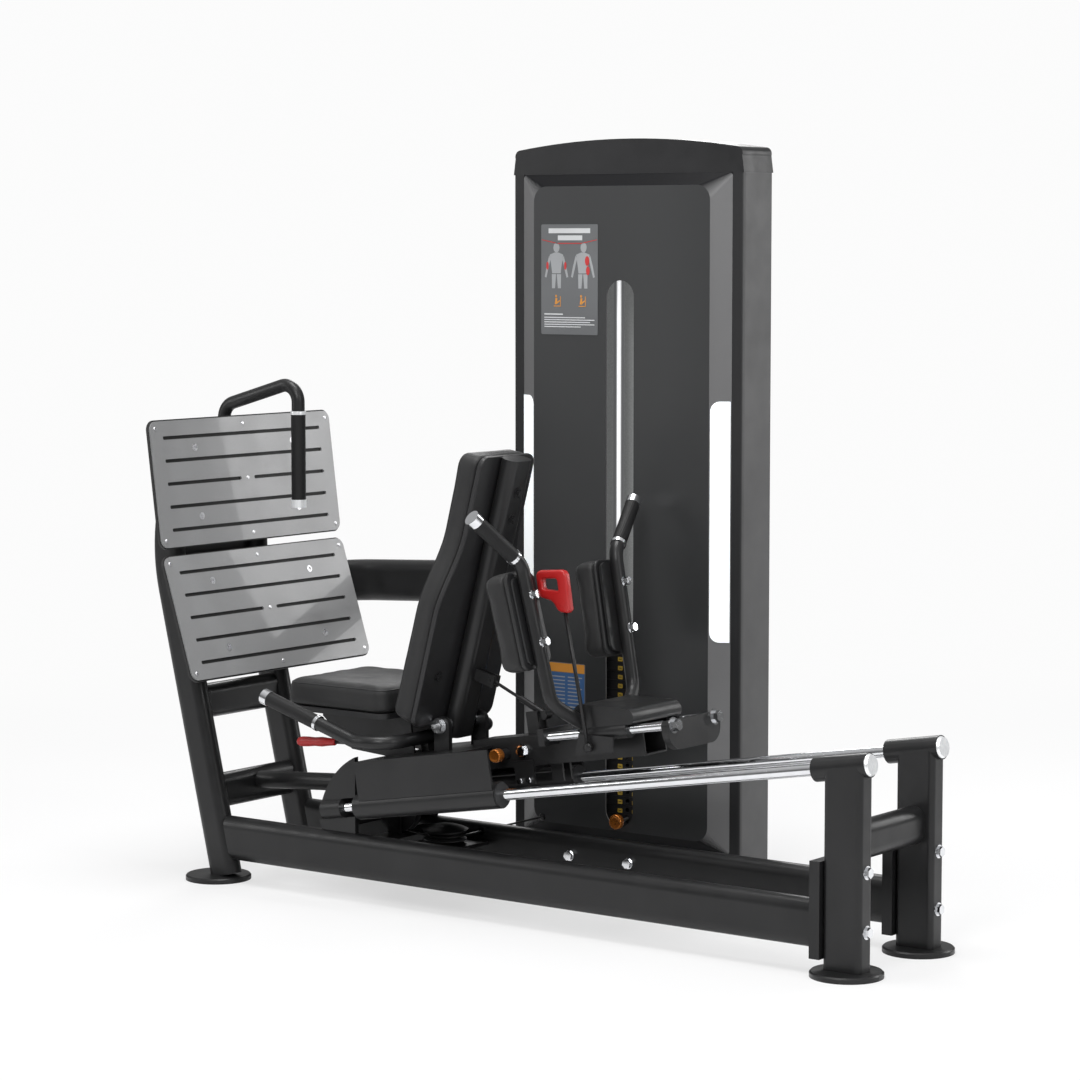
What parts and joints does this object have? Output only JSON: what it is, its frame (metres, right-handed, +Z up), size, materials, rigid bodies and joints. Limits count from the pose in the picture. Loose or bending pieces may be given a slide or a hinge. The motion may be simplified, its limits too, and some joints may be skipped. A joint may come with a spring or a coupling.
{
  "type": "leg press machine",
  "caption": "Seated leg press: a seat carriage on sloped rails, footplates in front and a shrouded weight stack beside it, tied by a cable.",
  "frame": {"origin": "on the floor, under the centre of the machine's overall box", "axes": "+X runs from the footplates towards the rear posts, +Y from the press towards the weight tower, +Z up"},
  "size_m": [1.936, 0.8246, 1.6859],
  "materials": {
    "frame_black": "satin powder coat",
    "vinyl_black": "matte vinyl with a fine grain",
    "board_black": "matte",
    "footplate_grey": "fine textured satin, grooves darker",
    "backing_black": "matte",
    "chrome": "polished",
    "steel": "satin",
    "rubber_black": "matte with fine ribs",
    "shroud_grey": "fine textured",
    "header_black": "satin",
    "window_opal": "opal",
    "placard": "printed, plain pictograms",
    "weights_black": "satin",
    "pulley_black": "matte",
    "cable_black": "coated cable",
    "orange": "anodised orange",
    "red": "satin red"
  },
  "bodies": {
    "frame": {"foot_discs": "frame_black", "base_rails": "frame_black", "front_uprights": "frame_black", "front_crossbars": "frame_black", "footplate_backs": "backing_black", "footplate_upper": "footplate_grey", "footplate_lower": "footplate_grey", "footplate_screws": "steel", "grab_handle": "frame_black", "grab_grip": "rubber_black", "end_caps": "chrome", "rear_posts": "frame_black", "rear_crossbeam": "frame_black", "flange_plates": "frame_black", "frame_bolts": "chrome", "rail_sockets": "frame_black", "guide_rails": "chrome", "rail_gussets": "frame_black", "link_beam": "frame_black", "tower_frame": "frame_black", "tower_side_covers": "header_black", "tower_header": "header_black", "front_shroud": "shroud_grey", "rear_shroud": "shroud_grey", "shroud_windows": "window_opal", "placards": "placard", "guide_rods": "chrome", "stack_bumpers": "rubber_black", "pulley_brackets": "frame_black", "cable": "cable_black"},
    "top_wheel_centre": {"top_pulley_centre": "pulley_black"},
    "top_wheel_side": {"top_pulley_side": "pulley_black"},
    "low_wheel": {"low_pulley": "pulley_black"},
    "floor_wheel": {"floor_pulley": "pulley_black"},
    "front_wheel": {"front_pulley": "pulley_black"},
    "stack": {"weight_plates": "weights_black", "head_plate": "weights_black"},
    "selector": {"selector_pin": "orange"},
    "carriage": {"carriage_frame": "frame_black", "linear_bushings": "board_black", "carriage_bolts": "chrome", "seat_board": "board_black", "seat_cushion": "vinyl_black", "hand_bar": "frame_black", "hand_grips": "rubber_black", "hand_trim": "chrome", "shoulder_rods": "chrome"},
    "seat_adjuster": {"seat_lever": "red"},
    "lock_pin": {"pop_pin": "orange"},
    "backrest": {"backrest_spine": "frame_black", "backrest_board": "board_black", "backrest_cushion": "vinyl_black"},
    "strut_body": {"strut_cylinder": "frame_black"},
    "strut_plunger": {"strut_rod": "frame_black"},
    "shoulders": {"shoulder_frame": "frame_black", "shoulder_backs": "board_black", "shoulder_cushions": "vinyl_black", "shoulder_grips": "rubber_black", "shoulder_trim": "chrome"},
    "release": {"release_lever": "red"}
  },
  "joints": [
    {"name": "carriage_slide", "type": "slide", "parent": "frame", "child": "carriage", "axis": [0.9862, 0, 0.1654], "range_m": [0, 0.5], "deforming": ["cable"]},
    {"name": "stack_lift", "type": "slide", "parent": "frame", "child": "stack", "axis": [0, 0, 1], "range_m": [0, 0.5]},
    {"name": "selector_pull", "type": "slide", "parent": "stack", "child": "selector", "axis": [0, -1, 0], "range_m": [0, 0.08]},
    {"name": "top_centre_turn", "type": "hinge", "parent": "frame", "child": "top_wheel_centre", "pos_m": [-0.04032, 0.33125, 1.53], "axis": [0, 1, 0], "range_deg": [-684.09, 2]},
    {"name": "top_side_turn", "type": "hinge", "parent": "frame", "child": "top_wheel_side", "pos_m": [-0.17332, 0.33125, 1.53], "axis": [0, 1, 0], "range_deg": [-684.09, 2]},
    {"name": "low_turn", "type": "hinge", "parent": "frame", "child": "low_wheel", "pos_m": [-0.21532, 0.30125, 0.162], "axis": [1, 0, 0], "range_deg": [-956.93, 2]},
    {"name": "floor_turn", "type": "hinge", "parent": "frame", "child": "floor_wheel", "pos_m": [-0.25732, -0.05875, 0.132], "axis": [0, 0, 1], "range_deg": [-684.09, 2]},
    {"name": "front_turn", "type": "hinge", "parent": "frame", "child": "front_wheel", "pos_m": [-0.35418, -0.10075, 0.19132], "axis": [0, 1, 0], "range_deg": [-2, 574.96]},
    {"name": "seat_adjust", "type": "hinge", "parent": "carriage", "child": "seat_adjuster", "pos_m": [-0.40732, -0.17875, 0.34], "axis": [0, 1, 0], "range_deg": [0, 14]},
    {"name": "lock_pull", "type": "slide", "parent": "carriage", "child": "lock_pin", "axis": [0, -1, 0], "range_m": [0, 0.012]},
    {"name": "backrest_recline", "type": "hinge", "parent": "carriage", "child": "backrest", "pos_m": [-0.18132, -0.10075, 0.398], "axis": [0, 1, 0], "range_deg": [0, 12]},
    {"name": "strut_swing", "type": "hinge", "parent": "carriage", "child": "strut_body", "pos_m": [0.05468, -0.10075, 0.435], "axis": [0, 1, 0], "range_deg": [-8, 1]},
    {"name": "strut_slide", "type": "slide", "parent": "strut_body", "child": "strut_plunger", "axis": [-0.9159, 0, 0.4015], "range_m": [-0.034, 0.002]},
    {"name": "shoulder_slide", "type": "slide", "parent": "carriage", "child": "shoulders", "axis": [0.9862, 0, 0.1654], "range_m": [-0.03, 0.08]},
    {"name": "release_swing", "type": "hinge", "parent": "shoulders", "child": "release", "pos_m": [0.24468, -0.20675, 0.394], "axis": [0, 1, 0], "range_deg": [0, 12]}
  ],
  "couplings": [
    {"joint": "stack_lift", "follows": "carriage_slide", "ratio": 1},
    {"joint": "top_centre_turn", "follows": "carriage_slide", "rad_per_m": -23.809},
    {"joint": "top_side_turn", "follows": "carriage_slide", "rad_per_m": -23.809},
    {"joint": "low_turn", "follows": "carriage_slide", "rad_per_m": -33.333},
    {"joint": "floor_turn", "follows": "carriage_slide", "rad_per_m": -23.809},
    {"joint": "front_turn", "follows": "carriage_slide", "rad_per_m": 20},
    {"joint": "strut_swing", "follows": "backrest_recline", "ratio": -0.41068},
    {"joint": "strut_slide", "follows": "backrest_recline", "m_per_rad": -0.12096}
  ]
}
